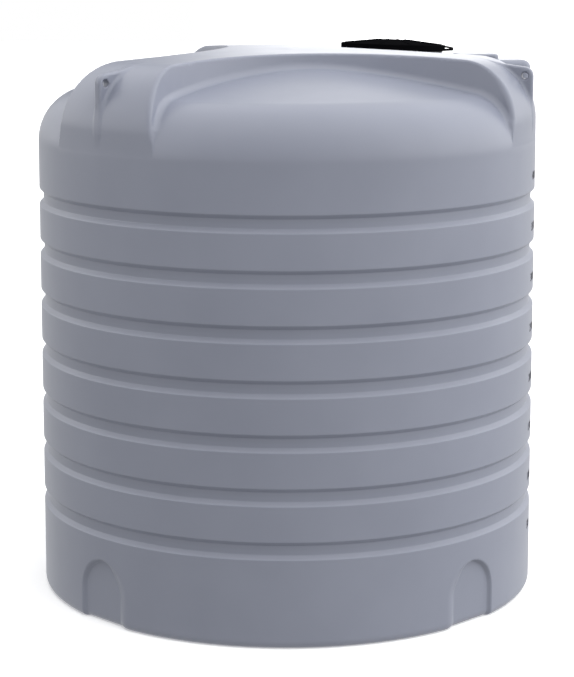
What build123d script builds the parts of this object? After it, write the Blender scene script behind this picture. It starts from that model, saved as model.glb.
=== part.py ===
from build123d import *
from math import atan2, cos, degrees, radians, sin, sqrt, tan
import os

os.makedirs("parts", exist_ok=True)

# Rotomoulded upright water tank, in millimetres and degrees.
# Z is up, the origin is the middle of the base, and -Y is the front.
# An azimuth is counted from the front towards +X.

# Tank wall
tank_radius = 930.0
wall = 7.5
base_corner_radius = 18.0

# Grooves round the wall
groove_count = 7
groove_pitch = 188.0
first_groove_height = 346.0
groove_opening = 60.0
groove_floor = 36.0
groove_depth = 15.0

# Flat arched pads for outlets, round the foot of the wall
pad_count = 4
pad_first_azimuth = 45.0
pad_width = 240.0
pad_height = 232.0
pad_depth = 20.0

# Lower roof: the floor of the three recesses
floor_shoulder_radius = 195.0
floor_shoulder_rise = 22.0
floor_slope = 9.7
floor_plateau_radius = 180.0

# Upper roof: the crown and the three lands between the recesses
land_setback = 0.5
land_shoulder_radius = 230.0
land_shoulder_rise = 83.5
crown_radius = 12000.0

# Crescent recesses, cut by drafted rounds that stand outside the tank
recess_count = 3
recess_first_azimuth = 15.0
recess_reach_ratio = 1.129
recess_radius_ratio = 0.809
recess_draft = 4.5
recess_rim_fillet = 20.0

# Tie-down lugs, one on the middle of each land
lug_first_azimuth = -45.0
lug_thickness = 32.0
lug_inset = 2.0
lug_top_drop = 35.5
lug_length = 158.0
lug_root_rise = 21.0
lug_root_depth = 60.0
lug_foot_drop = 57.5
lug_corner_radius = 28.0
lug_edge_fillet = 8.0
lug_hole_radius = 12.5
lug_hole_inset = 30.0
lug_hole_drop = 28.0

# Stepped boss, moulded at the end of the rear right recess: a level seat for the
# filling pipe, and below it the upright face for the overflow
boss_azimuth = 97.0
boss_width = 160.0
boss_face_inset = 10.0
boss_depth = 280.0
boss_foot_drop = 47.5
boss_top_drop = 23.5
inlet_step_setback = 125.0
inlet_step_fillet = 10.0
boss_corner_radius = 30.0

# Manhole neck, leaning outwards with the recess that it stands in
neck_azimuth = 135.0
neck_inset = 340.0
neck_drop = 7.5
neck_lean = 2.5
neck_radius = 172.0
neck_length = 125.0
neck_flange_width = 24.0
neck_flange_thickness = 12.0

# Manhole ring and its gasket
ring_gasket_thickness = 3.0
ring_gasket_setback = 1.0
ring_flange_overhang = 2.0
ring_flange_thickness = 8.0
ring_lip_inset = 6.0
ring_lip_thickness = 10.0
ring_lip_height = 8.0
ring_sleeve_clearance = 0.5
ring_sleeve_depth = 24.0

# Ring screws
screw_count = 8
screw_circle_outset = 11.0
screw_radius = 2.5
screw_clearance = 0.4
screw_head_radius = 5.5
screw_head_height = 3.6
screw_head_taper = 15.0
screw_length = 19.0

# Lid and its seal
lid_overhang = 7.0
lid_plate = 4.0
lid_skirt = 4.0
lid_skirt_drop = 18.0
lid_rim_drop = 1.5
lid_crown_rise = 17.0
lid_crown_radius = 60.0
lid_edge_fillet = 2.0
lid_rib_count = 10
lid_rib_width = 5.0
lid_rib_height = 3.0
lid_rib_inset = 8.0
seal_thickness = 4.0
seal_width = 12.0
seal_overhang = 1.0
seat_gap = 0.3

# Hinge, on the +X side of the ring
hinge_outset = 24.0
hinge_height = 13.0
hinge_pin_radius = 3.0
hinge_running_clearance = 0.06
hinge_barrel_radius = 7.0
hinge_lid_barrel = 36.0
hinge_ear = 12.0
hinge_side_gap = 0.5
hinge_notch_gap = 3.0
hinge_notch_depth = 8.0
hinge_arm_thickness = 6.0
hinge_ear_overlap = 10.0
pin_end = 2.6
pin_chamfer = 0.6
clip_thickness = 1.5
clip_radius = 6.0

# Outlet fitting, on the rear right pad
outlet_azimuth = 135.0
outlet_bore_radius = 28.5
outlet_barrel_radius = 37.5
outlet_hole_clearance = 0.5
outlet_flange_radius = 54.0
outlet_flange_thickness = 9.0
outlet_gasket_thickness = 3.0
outlet_gasket_setback = 2.0
outlet_washer_thickness = 2.0
outlet_washer_overhang = 2.0
outlet_nut_flats = 98.0
outlet_nut_thickness = 14.0
outlet_barrel_proud = 18.5
fitting_nut_clearance = 0.3

# Overflow fitting, in the boss
overflow_drop = 94.0
overflow_socket_radius = 28.0
overflow_socket_depth = 26.0
overflow_bore_radius = 24.0
overflow_barrel_radius = 32.0
overflow_hole_clearance = 0.5
overflow_flange_radius = 46.0
overflow_flange_thickness = 7.0
overflow_gasket_thickness = 2.0
overflow_gasket_setback = 2.0
overflow_barrel_length = 48.0
overflow_nut_flats = 78.0
overflow_nut_thickness = 14.0
screen_thickness = 1.5
screen_setback = 1.0
screen_hole_rows = 5
screen_hole_radius = 2.0
screen_hole_pitch = 7.0
screen_ring_width = 3.0
screen_ring_height = 4.0
screen_clearance = 0.3

# Places that follow from the sizes above
groove_top = first_groove_height + groove_count * groove_pitch
floor_shoulder_height = groove_top + floor_shoulder_rise
land_shoulder_height = floor_shoulder_height + land_shoulder_rise
land_top = land_shoulder_height + land_shoulder_radius
recess_reach = tank_radius * recess_reach_ratio
recess_radius = tank_radius * recess_radius_ratio
lug_reach = tank_radius - lug_inset
lug_top = land_top - lug_top_drop
lug_hole_reach = lug_reach - lug_hole_inset
lug_hole_height = lug_top - lug_hole_drop
boss_face_reach = tank_radius - boss_face_inset
boss_root_reach = boss_face_reach - boss_depth
boss_root_height = land_shoulder_height - boss_foot_drop
boss_top = land_top - boss_top_drop
inlet_step_reach = boss_face_reach - inlet_step_setback
inlet_step_top = land_top
neck_reach = tank_radius - neck_inset
neck_height = land_top - neck_drop
neck_flange_radius = neck_radius + neck_flange_width
ring_flange_radius = neck_flange_radius + ring_flange_overhang
ring_lip_radius = neck_radius - ring_lip_inset
ring_bore_radius = ring_lip_radius - ring_lip_thickness
screw_circle_radius = neck_radius + screw_circle_outset
lid_radius = ring_flange_radius + lid_overhang
hinge_reach = lid_radius + hinge_outset
pad_spring = pad_height - pad_width / 2
overflow_height = boss_top - overflow_drop


def turn(azimuth):
    """Angle from +X, anticlockwise, of an azimuth counted from the front."""
    return azimuth - 90.0


def upright_plane(azimuth):
    """Plane whose x runs outwards at the azimuth and whose y is up."""
    a = radians(turn(azimuth))
    return Plane(origin=(0, 0, 0), x_dir=(cos(a), sin(a), 0), z_dir=(sin(a), -cos(a), 0))


def facing_plane(azimuth, reach, height):
    """Plane that faces outwards at the azimuth, at a distance from the tank's axis."""
    a = radians(turn(azimuth))
    origin = (reach * cos(a), reach * sin(a), height)
    return Plane(origin=origin, x_dir=(-sin(a), cos(a), 0), z_dir=(cos(a), sin(a), 0))


def on_arc(centre, radius, angle):
    """Point of an arc in a profile, at an angle above the horizontal."""
    return (centre[0] + radius * cos(radians(angle)), centre[1] + radius * sin(radians(angle)))


def wall_points(inset):
    """Corners of the grooved wall from the lowest groove up, for an inset skin."""
    flank = degrees(atan2(groove_depth, (groove_opening - groove_floor) / 2))
    shift = inset * tan(radians(flank / 2))
    outer = tank_radius - inset
    inner = outer - groove_depth
    points = []
    for index in range(groove_count):
        middle = first_groove_height + index * groove_pitch
        points.append((outer, middle - groove_opening / 2 - shift))
        points.append((inner, middle - groove_floor / 2 - shift))
        points.append((inner, middle + groove_floor / 2 + shift))
        points.append((outer, middle + groove_opening / 2 + shift))
    return points


def lower_body(inset):
    """Wall, base and recess floor as one turned body."""
    outer = tank_radius - inset
    corner = base_corner_radius - inset
    foot = (outer - corner, inset + corner)
    hub = (tank_radius - floor_shoulder_radius, floor_shoulder_height)
    shoulder = floor_shoulder_radius - inset
    tangent_angle = 90.0 - floor_slope
    tangent = on_arc(hub, shoulder, tangent_angle)
    plateau = (floor_plateau_radius, tangent[1] + (tangent[0] - floor_plateau_radius) * tan(radians(floor_slope)))
    with BuildPart() as body:
        with BuildSketch(Plane.XZ):
            with BuildLine():
                Line((0, inset), (foot[0], inset))
                ThreePointArc((foot[0], inset), on_arc(foot, corner, -45), (outer, foot[1]))
                Polyline((outer, foot[1]), *wall_points(inset), (outer, hub[1]))
                ThreePointArc((outer, hub[1]), on_arc(hub, shoulder, tangent_angle / 2), tangent)
                Polyline(tangent, plateau, (0, plateau[1]), (0, inset))
            make_face()
        revolve(axis=Axis.Z)
    return body.part


def upper_body(inset):
    """Crown and lands: a domed block with the three recesses cut from it."""
    start = groove_top - recess_rim_fillet
    outer = tank_radius - land_setback - inset
    hub = (tank_radius - land_setback - land_shoulder_radius, land_shoulder_height)
    shoulder = land_shoulder_radius - inset
    dome = crown_radius - inset
    drop = sqrt((crown_radius - land_shoulder_radius) ** 2 - hub[0] ** 2)
    dome_centre = (0, hub[1] - drop)
    tangent_angle = degrees(atan2(drop, hub[0]))
    tangent = on_arc(hub, shoulder, tangent_angle)
    half_way = on_arc(dome_centre, dome, (tangent_angle + 90) / 2)
    apex = (0, dome_centre[1] + dome)
    spread = tan(radians(recess_draft))
    cut_height = apex[1] + wall - start
    low_radius = recess_radius - (floor_shoulder_height - start) * spread
    low_radius += inset / cos(radians(recess_draft))
    with BuildPart() as body:
        with BuildSketch(Plane.XZ):
            with BuildLine():
                Line((0, start), (outer, start))
                Line((outer, start), (outer, hub[1]))
                ThreePointArc((outer, hub[1]), on_arc(hub, shoulder, tangent_angle / 2), tangent)
                ThreePointArc(tangent, half_way, apex)
                Line(apex, (0, start))
            make_face()
        revolve(axis=Axis.Z)
        with Locations((0, 0, start)):
            with PolarLocations(recess_reach, recess_count, start_angle=turn(recess_first_azimuth)):
                Cone(low_radius, low_radius + cut_height * spread, cut_height,
                     align=(Align.CENTER, Align.CENTER, Align.MIN), mode=Mode.SUBTRACT)
        recess_edges = body.faces().filter_by(GeomType.CONE).edges()
        rim = recess_edges.filter_by(lambda edge: edge.center().Z > land_shoulder_height)
        fillet(rim, recess_rim_fillet - inset)
    return body.part


def pad_block(azimuth, inset):
    """Arched block that leaves one flat pad when it is cut from the wall."""
    reach = tank_radius - pad_depth - inset
    arch = pad_width / 2 + inset
    with BuildPart() as block:
        with BuildSketch(facing_plane(azimuth, reach, 0)):
            with Locations((0, pad_spring)):
                Circle(arch)
            Rectangle(2 * arch, pad_spring, align=(Align.CENTER, Align.MIN))
        extrude(amount=pad_depth + inset + wall)
    return block.part


def boss_block(face_reach, top, edge_radius, inset):
    """Rounded block that stands from the recess floor, with its face outwards."""
    along = upright_plane(boss_azimuth)
    width = boss_width - 2 * inset
    root = boss_root_reach + inset
    with BuildPart() as block:
        with BuildSketch(along):
            with Locations((root, boss_root_height)):
                Rectangle(face_reach - inset - root, top - inset - boss_root_height,
                          align=(Align.MIN, Align.MIN))
        extrude(amount=width / 2, both=True)
        fillet(block.edges().filter_by(Axis.Z), boss_corner_radius - inset)
        fillet(block.faces().sort_by(Axis.Z)[-1].edges(), edge_radius - inset)
    return block.part


def stepped_boss(inset):
    """The inlet step and the lower overflow block, as one boss."""
    with BuildPart() as boss:
        add(boss_block(boss_face_reach, boss_top, boss_corner_radius, inset))
        add(boss_block(inlet_step_reach, inlet_step_top, inlet_step_fillet, inset))
    return boss.part


def tie_down_lug(azimuth):
    """Upright fin on a land, with a round corner and a hole for a strap or rope."""
    root = (lug_reach - lug_length, lug_top + lug_root_rise)
    deep = root[0] - lug_root_depth
    foot = land_shoulder_height - lug_foot_drop
    with BuildPart() as lug:
        with BuildSketch(upright_plane(azimuth)):
            with BuildLine():
                Polyline((deep, foot), (lug_reach, foot), (lug_reach, lug_top), root, (deep, root[1]), close=True)
            outline = make_face()
            outer_corner = outline.vertices().sort_by(Axis((0, 0, 0), (1, 0.2, 0)))[-1]
            fillet(outer_corner, lug_corner_radius)
        extrude(amount=lug_thickness / 2, both=True)
        across = Axis((0, 0, 0), upright_plane(azimuth).z_dir)
        fillet(lug.faces().filter_by(across).edges(), lug_edge_fillet)
    return lug.part


def hexagon_nut(plane, flats, bore, thickness):
    """Hexagonal nut on a plane."""
    with BuildPart() as nut:
        with BuildSketch(plane):
            RegularPolygon(flats / 2, 6, major_radius=False)
            Circle(bore, mode=Mode.SUBTRACT)
        extrude(amount=thickness)
    return nut.part


def disc(plane, radius, bore, thickness):
    """Flat ring on a plane."""
    with BuildPart() as ring:
        with BuildSketch(plane):
            Circle(radius)
            Circle(bore, mode=Mode.SUBTRACT)
        extrude(amount=thickness)
    return ring.part


# Planes of the fittings
neck_angle = radians(turn(neck_azimuth))
lean = radians(neck_lean)
neck_axis = (sin(lean) * cos(neck_angle), sin(lean) * sin(neck_angle), cos(lean))
neck_origin = (neck_reach * cos(neck_angle), neck_reach * sin(neck_angle), neck_height)
mouth = Plane(origin=neck_origin, x_dir=(1, 0, 0), z_dir=neck_axis)
pad_face = facing_plane(outlet_azimuth, tank_radius - pad_depth, pad_spring)
boss_face = facing_plane(boss_azimuth, boss_face_reach, overflow_height)

# Heights above the neck's top
gasket_top = ring_gasket_thickness
ring_top = gasket_top + ring_flange_thickness
lip_top = ring_top + ring_lip_height
lid_underside = lip_top + seat_gap + seal_thickness
neck_bore_radius = neck_radius - wall

# Tank shell, one hollow moulding
pad_azimuths = [pad_first_azimuth + index * 360.0 / pad_count for index in range(pad_count)]
lug_azimuths = [lug_first_azimuth + index * 360.0 / recess_count for index in range(recess_count)]

with BuildPart() as tank_cavity:
    add(lower_body(wall))
    add(upper_body(wall))
    add(stepped_boss(wall))
    for azimuth in pad_azimuths:
        add(pad_block(azimuth, wall), mode=Mode.SUBTRACT)

with BuildPart() as tank_shell:
    add(lower_body(0))
    add(upper_body(0))
    for azimuth in lug_azimuths:
        add(tie_down_lug(azimuth))
    add(stepped_boss(0))
    for azimuth in pad_azimuths:
        add(pad_block(azimuth, 0), mode=Mode.SUBTRACT)
    with BuildSketch(mouth.offset(-neck_length)):
        Circle(neck_radius)
    extrude(amount=neck_length)
    with BuildSketch(mouth.offset(-neck_flange_thickness)):
        Circle(neck_flange_radius)
    extrude(amount=neck_flange_thickness)
    add(tank_cavity.part, mode=Mode.SUBTRACT)
    with BuildSketch(mouth):
        Circle(neck_bore_radius)
    extrude(amount=-neck_length - wall, mode=Mode.SUBTRACT)
    with BuildSketch(mouth):
        with PolarLocations(screw_circle_radius, screw_count, start_angle=180.0 / screw_count):
            Circle(screw_radius + screw_clearance)
    extrude(amount=-neck_flange_thickness, mode=Mode.SUBTRACT)
    for azimuth in lug_azimuths:
        with BuildSketch(upright_plane(azimuth)):
            with Locations((lug_hole_reach, lug_hole_height)):
                Circle(lug_hole_radius)
        extrude(amount=lug_thickness, both=True, mode=Mode.SUBTRACT)
    with BuildSketch(pad_face):
        Circle(outlet_barrel_radius + outlet_hole_clearance)
    extrude(amount=-2 * wall, mode=Mode.SUBTRACT)
    with BuildSketch(boss_face):
        Circle(overflow_barrel_radius + overflow_hole_clearance)
    extrude(amount=-2 * wall, mode=Mode.SUBTRACT)
tank_shell.part.label = "tank_shell"
export_step(tank_shell.part, "parts/tank_shell.step")

# Gasket between the neck and the ring
with BuildPart() as ring_gasket:
    add(disc(mouth, neck_flange_radius - ring_gasket_setback, neck_bore_radius + ring_gasket_setback,
             ring_gasket_thickness))
    with BuildSketch(mouth):
        with PolarLocations(screw_circle_radius, screw_count, start_angle=180.0 / screw_count):
            Circle(screw_radius + screw_clearance)
    extrude(amount=ring_gasket_thickness, mode=Mode.SUBTRACT)
ring_gasket.part.label = "ring_gasket"
export_step(ring_gasket.part, "parts/ring_gasket.step")

# Manhole ring: flange, lip that the lid closes on, sleeve inside the neck, two hinge ears
ear_inner = hinge_lid_barrel / 2 + hinge_side_gap
ear_outer = ear_inner + hinge_ear
ear_root = ring_flange_radius - hinge_ear_overlap
sleeve_radius = neck_bore_radius - ring_sleeve_clearance
ear_plane = Plane(origin=mouth.origin, x_dir=mouth.x_dir, z_dir=-mouth.y_dir)
with BuildPart() as manhole_ring:
    with BuildSketch(mouth.offset(gasket_top)):
        Circle(ring_flange_radius)
    extrude(amount=ring_flange_thickness)
    with BuildSketch(mouth.offset(ring_top)):
        Circle(ring_lip_radius)
    extrude(amount=ring_lip_height)
    with BuildSketch(mouth.offset(gasket_top)):
        Circle(sleeve_radius)
    extrude(amount=-ring_sleeve_depth)
    for side in (-1, 1):
        with BuildSketch(ear_plane.offset(-side * (ear_inner + hinge_ear / 2))):
            with Locations((hinge_reach, hinge_height)):
                Circle(hinge_barrel_radius)
            with BuildLine():
                Polyline((ear_root, gasket_top), (hinge_reach, hinge_height - hinge_barrel_radius),
                         (hinge_reach, hinge_height), (ear_root, ring_top), close=True)
            make_face()
        extrude(amount=hinge_ear / 2, both=True)
    with BuildSketch(mouth.offset(lip_top)):
        Circle(ring_bore_radius)
    extrude(amount=-lip_top - ring_sleeve_depth, mode=Mode.SUBTRACT)
    with BuildSketch(ear_plane):
        with Locations((hinge_reach, hinge_height)):
            Circle(hinge_pin_radius + hinge_running_clearance)
    extrude(amount=2 * ear_outer, both=True, mode=Mode.SUBTRACT)
    with BuildSketch(mouth.offset(ring_top)):
        with PolarLocations(screw_circle_radius, screw_count, start_angle=180.0 / screw_count):
            Circle(screw_radius + screw_clearance)
    extrude(amount=-ring_flange_thickness, mode=Mode.SUBTRACT)
manhole_ring.part.label = "manhole_ring"
export_step(manhole_ring.part, "parts/manhole_ring.step")

# Ring screws, one group of pan-headed screws
with BuildPart() as ring_screws:
    with BuildSketch(mouth.offset(ring_top)):
        with PolarLocations(screw_circle_radius, screw_count, start_angle=180.0 / screw_count):
            Circle(screw_head_radius)
    extrude(amount=screw_head_height, taper=screw_head_taper)
    with BuildSketch(mouth.offset(ring_top)):
        with PolarLocations(screw_circle_radius, screw_count, start_angle=180.0 / screw_count):
            Circle(screw_radius)
    extrude(amount=-screw_length)
ring_screws.part.label = "ring_screws"
export_step(ring_screws.part, "parts/ring_screws.step")

# Lid: coned plate with a flat middle, a deep rim, radial ribs and a hinge barrel
rim_top = lid_underside + lid_plate - lid_rim_drop
skirt_bottom = rim_top - lid_plate - lid_skirt_drop
crown_top = rim_top + lid_crown_rise
skirt_bore = lid_radius - lid_skirt
seal_outer = ring_lip_radius + seal_overhang
notch_half = ear_outer + hinge_notch_gap
rib_start = lid_crown_radius - lid_rib_inset
rib_end = lid_radius - lid_rib_inset
end_height = rim_top + (lid_radius - rib_end) * lid_crown_rise / (lid_radius - lid_crown_radius)
with BuildPart() as manhole_lid:
    with BuildSketch(ear_plane):
        with BuildLine():
            Polyline((0, crown_top), (lid_crown_radius, crown_top), (lid_radius, rim_top),
                     (lid_radius, skirt_bottom), (skirt_bore, skirt_bottom),
                     (skirt_bore, lid_underside), (seal_outer - seal_width, lid_underside),
                     (lid_crown_radius, crown_top - lid_plate), (0, crown_top - lid_plate), close=True)
        make_face()
    revolve(axis=Axis(mouth.origin, mouth.z_dir))
    top_edges = manhole_lid.edges().filter_by(GeomType.CIRCLE)
    outer_edges = top_edges.filter_by(lambda edge: edge.radius > lid_radius - 0.01)
    fillet(outer_edges, lid_edge_fillet)
    for index in range(lid_rib_count):
        rib_plane = Plane(mouth.location * Location((0, 0, 0), (0, 0, 360.0 * index / lid_rib_count)))
        rib_side = Plane(origin=rib_plane.origin, x_dir=rib_plane.x_dir, z_dir=-rib_plane.y_dir)
        with BuildSketch(rib_side):
            with BuildLine():
                Polyline((rib_start, crown_top - lid_plate / 2), (rib_end, end_height - lid_plate / 2),
                         (rib_end, end_height), (rib_end - lid_rib_inset, end_height + lid_rib_height),
                         (lid_crown_radius, crown_top + lid_rib_height / 2),
                         (rib_start, crown_top), close=True)
            make_face()
        extrude(amount=lid_rib_width / 2, both=True)
    with BuildSketch(mouth.offset(skirt_bottom)):
        with Locations((lid_radius, 0)):
            Rectangle(2 * hinge_notch_depth, 2 * notch_half)
    extrude(amount=hinge_height + hinge_barrel_radius - skirt_bottom, mode=Mode.SUBTRACT)
    arm_top = hinge_height + hinge_barrel_radius
    with BuildSketch(ear_plane):
        with Locations((hinge_reach, hinge_height)):
            Circle(hinge_barrel_radius)
        with BuildLine():
            Polyline((hinge_reach, hinge_height), (hinge_reach, arm_top), (lid_radius, rim_top - lid_edge_fillet),
                     (skirt_bore, rim_top - lid_edge_fillet),
                     (skirt_bore, rim_top - lid_edge_fillet - hinge_arm_thickness), close=True)
        make_face()
    extrude(amount=hinge_lid_barrel / 2, both=True)
    with BuildSketch(ear_plane):
        with Locations((hinge_reach, hinge_height)):
            Circle(hinge_pin_radius + hinge_running_clearance)
    extrude(amount=hinge_lid_barrel, both=True, mode=Mode.SUBTRACT)
manhole_lid.part.label = "manhole_lid"
export_step(manhole_lid.part, "parts/manhole_lid.step")

# Seal under the lid
with BuildPart() as lid_seal:
    add(disc(mouth.offset(lip_top + seat_gap), seal_outer, seal_outer - seal_width, seal_thickness))
lid_seal.part.label = "lid_seal"
export_step(lid_seal.part, "parts/lid_seal.step")

# Hinge pin and the two clips on its ends
pin_half = ear_outer + clip_thickness + pin_end
with BuildPart() as hinge_pin:
    with BuildSketch(ear_plane):
        with Locations((hinge_reach, hinge_height)):
            Circle(hinge_pin_radius)
    extrude(amount=pin_half, both=True)
    chamfer(hinge_pin.edges().filter_by(GeomType.CIRCLE), pin_chamfer)
hinge_pin.part.label = "hinge_pin"
export_step(hinge_pin.part, "parts/hinge_pin.step")

with BuildPart() as pin_clips:
    for side in (-1, 1):
        with BuildSketch(ear_plane.offset(side * ear_outer)):
            with Locations((hinge_reach, hinge_height)):
                Circle(clip_radius)
                Circle(hinge_pin_radius + hinge_running_clearance, mode=Mode.SUBTRACT)
        extrude(amount=side * clip_thickness)
pin_clips.part.label = "pin_clips"
export_step(pin_clips.part, "parts/pin_clips.step")

# Outlet fitting: flanged barrel from inside, gasket, washer and nut
inside = -wall
flange_seat = inside - outlet_gasket_thickness
with BuildPart() as outlet_body:
    with BuildSketch(pad_face.offset(flange_seat - outlet_flange_thickness)):
        Circle(outlet_flange_radius)
    extrude(amount=outlet_flange_thickness)
    with BuildSketch(pad_face.offset(flange_seat)):
        Circle(outlet_barrel_radius)
    extrude(amount=outlet_barrel_proud - flange_seat)
    with BuildSketch(pad_face.offset(outlet_barrel_proud)):
        Circle(outlet_bore_radius)
    extrude(amount=flange_seat - outlet_flange_thickness - outlet_barrel_proud, mode=Mode.SUBTRACT)
outlet_body.part.label = "outlet_body"
export_step(outlet_body.part, "parts/outlet_body.step")

outlet_clear_bore = outlet_barrel_radius + fitting_nut_clearance
outlet_gasket = disc(pad_face.offset(flange_seat), outlet_flange_radius - outlet_gasket_setback, outlet_clear_bore,
                     outlet_gasket_thickness)
outlet_gasket.label = "outlet_gasket"
export_step(outlet_gasket, "parts/outlet_gasket.step")

outlet_washer = disc(pad_face, outlet_flange_radius + outlet_washer_overhang, outlet_clear_bore,
                     outlet_washer_thickness)
outlet_washer.label = "outlet_washer"
export_step(outlet_washer, "parts/outlet_washer.step")

outlet_nut = hexagon_nut(pad_face.offset(outlet_washer_thickness), outlet_nut_flats, outlet_clear_bore,
                         outlet_nut_thickness)
outlet_nut.label = "outlet_nut"
export_step(outlet_nut, "parts/outlet_nut.step")

# Overflow fitting: flanged socket from outside, gasket, nut inside and an insect screen
socket_floor = overflow_gasket_thickness + overflow_flange_thickness - overflow_socket_depth
barrel_end = overflow_gasket_thickness - overflow_barrel_length
with BuildPart() as overflow_body:
    with BuildSketch(boss_face.offset(overflow_gasket_thickness)):
        Circle(overflow_flange_radius)
    extrude(amount=overflow_flange_thickness)
    with BuildSketch(boss_face.offset(overflow_gasket_thickness)):
        Circle(overflow_barrel_radius)
    extrude(amount=-overflow_barrel_length)
    with BuildSketch(boss_face.offset(socket_floor)):
        Circle(overflow_socket_radius)
    extrude(amount=overflow_socket_depth, mode=Mode.SUBTRACT)
    with BuildSketch(boss_face.offset(barrel_end)):
        Circle(overflow_bore_radius)
    extrude(amount=socket_floor - barrel_end, mode=Mode.SUBTRACT)
overflow_body.part.label = "overflow_body"
export_step(overflow_body.part, "parts/overflow_body.step")

overflow_clear_bore = overflow_barrel_radius + fitting_nut_clearance
overflow_gasket = disc(boss_face, overflow_flange_radius - overflow_gasket_setback, overflow_clear_bore,
                       overflow_gasket_thickness)
overflow_gasket.label = "overflow_gasket"
export_step(overflow_gasket, "parts/overflow_gasket.step")

overflow_nut = hexagon_nut(boss_face.offset(-wall - overflow_nut_thickness), overflow_nut_flats,
                           overflow_clear_bore, overflow_nut_thickness)
overflow_nut.label = "overflow_nut"
export_step(overflow_nut, "parts/overflow_nut.step")

with BuildPart() as overflow_screen:
    with BuildSketch(boss_face.offset(barrel_end - screen_thickness)):
        Circle(overflow_barrel_radius - screen_setback)
        with HexLocations(screen_hole_pitch / 2, screen_hole_rows, screen_hole_rows):
            Circle(screen_hole_radius, mode=Mode.SUBTRACT)
    extrude(amount=screen_thickness)
overflow_screen.part.label = "overflow_screen"
export_step(overflow_screen.part, "parts/overflow_screen.step")

with BuildPart() as screen_cap:
    with BuildSketch(boss_face.offset(barrel_end - screen_thickness - screen_ring_width)):
        Circle(overflow_barrel_radius + screen_clearance + screen_ring_width)
        Circle(overflow_bore_radius, mode=Mode.SUBTRACT)
    extrude(amount=screen_ring_width)
    with BuildSketch(boss_face.offset(barrel_end - screen_thickness)):
        Circle(overflow_barrel_radius + screen_clearance + screen_ring_width)
        Circle(overflow_barrel_radius + screen_clearance, mode=Mode.SUBTRACT)
    extrude(amount=screen_thickness + screen_ring_height)
screen_cap.part.label = "screen_cap"
export_step(screen_cap.part, "parts/screen_cap.step")
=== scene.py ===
import math

import bmesh
import bpy
import numpy as np
from mathutils import Matrix, Vector


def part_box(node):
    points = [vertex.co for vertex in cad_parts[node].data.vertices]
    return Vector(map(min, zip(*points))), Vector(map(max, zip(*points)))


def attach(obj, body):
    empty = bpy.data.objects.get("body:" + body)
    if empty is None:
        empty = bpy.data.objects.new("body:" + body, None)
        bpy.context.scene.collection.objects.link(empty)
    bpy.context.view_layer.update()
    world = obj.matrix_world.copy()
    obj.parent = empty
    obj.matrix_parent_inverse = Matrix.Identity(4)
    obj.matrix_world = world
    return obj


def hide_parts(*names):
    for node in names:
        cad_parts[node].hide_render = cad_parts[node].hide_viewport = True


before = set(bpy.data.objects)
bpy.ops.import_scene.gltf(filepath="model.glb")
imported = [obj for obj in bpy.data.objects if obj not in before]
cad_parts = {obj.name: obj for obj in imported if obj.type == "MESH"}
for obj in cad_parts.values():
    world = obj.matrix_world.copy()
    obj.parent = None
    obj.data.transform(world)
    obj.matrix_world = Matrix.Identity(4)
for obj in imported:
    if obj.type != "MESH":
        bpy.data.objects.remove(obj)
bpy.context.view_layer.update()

# Tank shell: one hollow rotomoulded piece of blue-grey polyethylene, about 8 mm thick.
# The powder melts onto the inside of a hot turning mould, so the wall, the recessed roof,
# the lugs, the boss and the neck run into each other with soft corners. Sizes in mm.

# wall, base corner and grooves, the lowest groove first
TANK_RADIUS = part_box("tank_shell")[1].x * 1000
WALL = 7.5
BASE_CORNER = 25.0
GROOVE_COUNT = 7
GROOVE_PITCH = 188.6
FIRST_GROOVE = 349.5
GROOVE_DEPTH = 15.0
GROOVE_FLOOR_HALF = 17.0
GROOVE_OPENING_HALF = 31.0
GROOVE_ROUNDING = 0.14
# arched pads at the foot, and the columns and rows of faces that draw them
PAD_AZIMUTHS = (45.0, 135.0, 225.0, 315.0)
PAD_WIDTH = 240.0
PAD_HEIGHT = 232.0
PAD_DEPTH = 20.0
PAD_EDGE = 7.0
PAD_SOFT_EDGE = 80.0
PAD_TURN = math.radians(8.8)
FRONT_LEFT_PAD = 315.0
FOOT_COLUMNS = (64, 30)
FOOT_ROWS = 48
CORNER_STEPS = 6
OUTLET_AZIMUTH = 135.0
OUTLET_HEIGHT = 112.0
OUTLET_HOLE = 38.0
# lower roof: where its shoulder's centre stands, as reach and height, and how it slopes up
FLOOR_HUB = (735.0, 1684.0)
FLOOR_SHOULDER = 195.0
FLOOR_SLOPE = math.radians(9.7)
# three lands between the recesses, under one dome, and the recesses that part them
LAND_HUB = (699.5, 1767.5)
LAND_SHOULDER = 230.0
CROWN_RADIUS = 12000.0
RECESS_AZIMUTHS = (15.0, 135.0, 255.0)
RECESS_REACH = 1049.97
RECESS_RADIUS = 752.37
RECESS_DRAFT = math.radians(4.5)
RIM_FILLET = (7.0, 20.0)
RIM_FILLET_TOP = 1985.0
RIM_FILLET_GROWTH = 0.15
FOOT_FILLET = 24.0
# tie-down lugs: places as reach and height, and the hole with its radius
LUG_AZIMUTHS = (-45.0, 75.0, 195.0)
LUG_HALF = 16.0
LUG_REACH = 928.0
LUG_TOP = 1962.0
LUG_ROOT = (770.0, 1983.0)
LUG_CORNER = 28.0
LUG_EDGE = 8.0
LUG_HOLE = (898.0, 1934.0, 12.5)
LUG_HOLE_EDGE = 1.5
LUG_SUNK = 60
LUG_BLEND = 12.0
LEAST_FILLET = 0.05
# boss of two blocks, each with its reach, its top and the radius of its top edge
BOSS_AZIMUTH = 97.0
BOSS_HALF = 80.0
BOSS_ROOT_REACH = 640.0
BOSS_ROOT_HEIGHT = 1725.0
BOSS_BLOCKS = ((920.0, 1974.0, 30.0), (795.0, 1997.5, 10.0))
BOSS_CORNER = 30.0
OVERFLOW_HEIGHT = 1880.0
OVERFLOW_HOLE = 32.5
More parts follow.
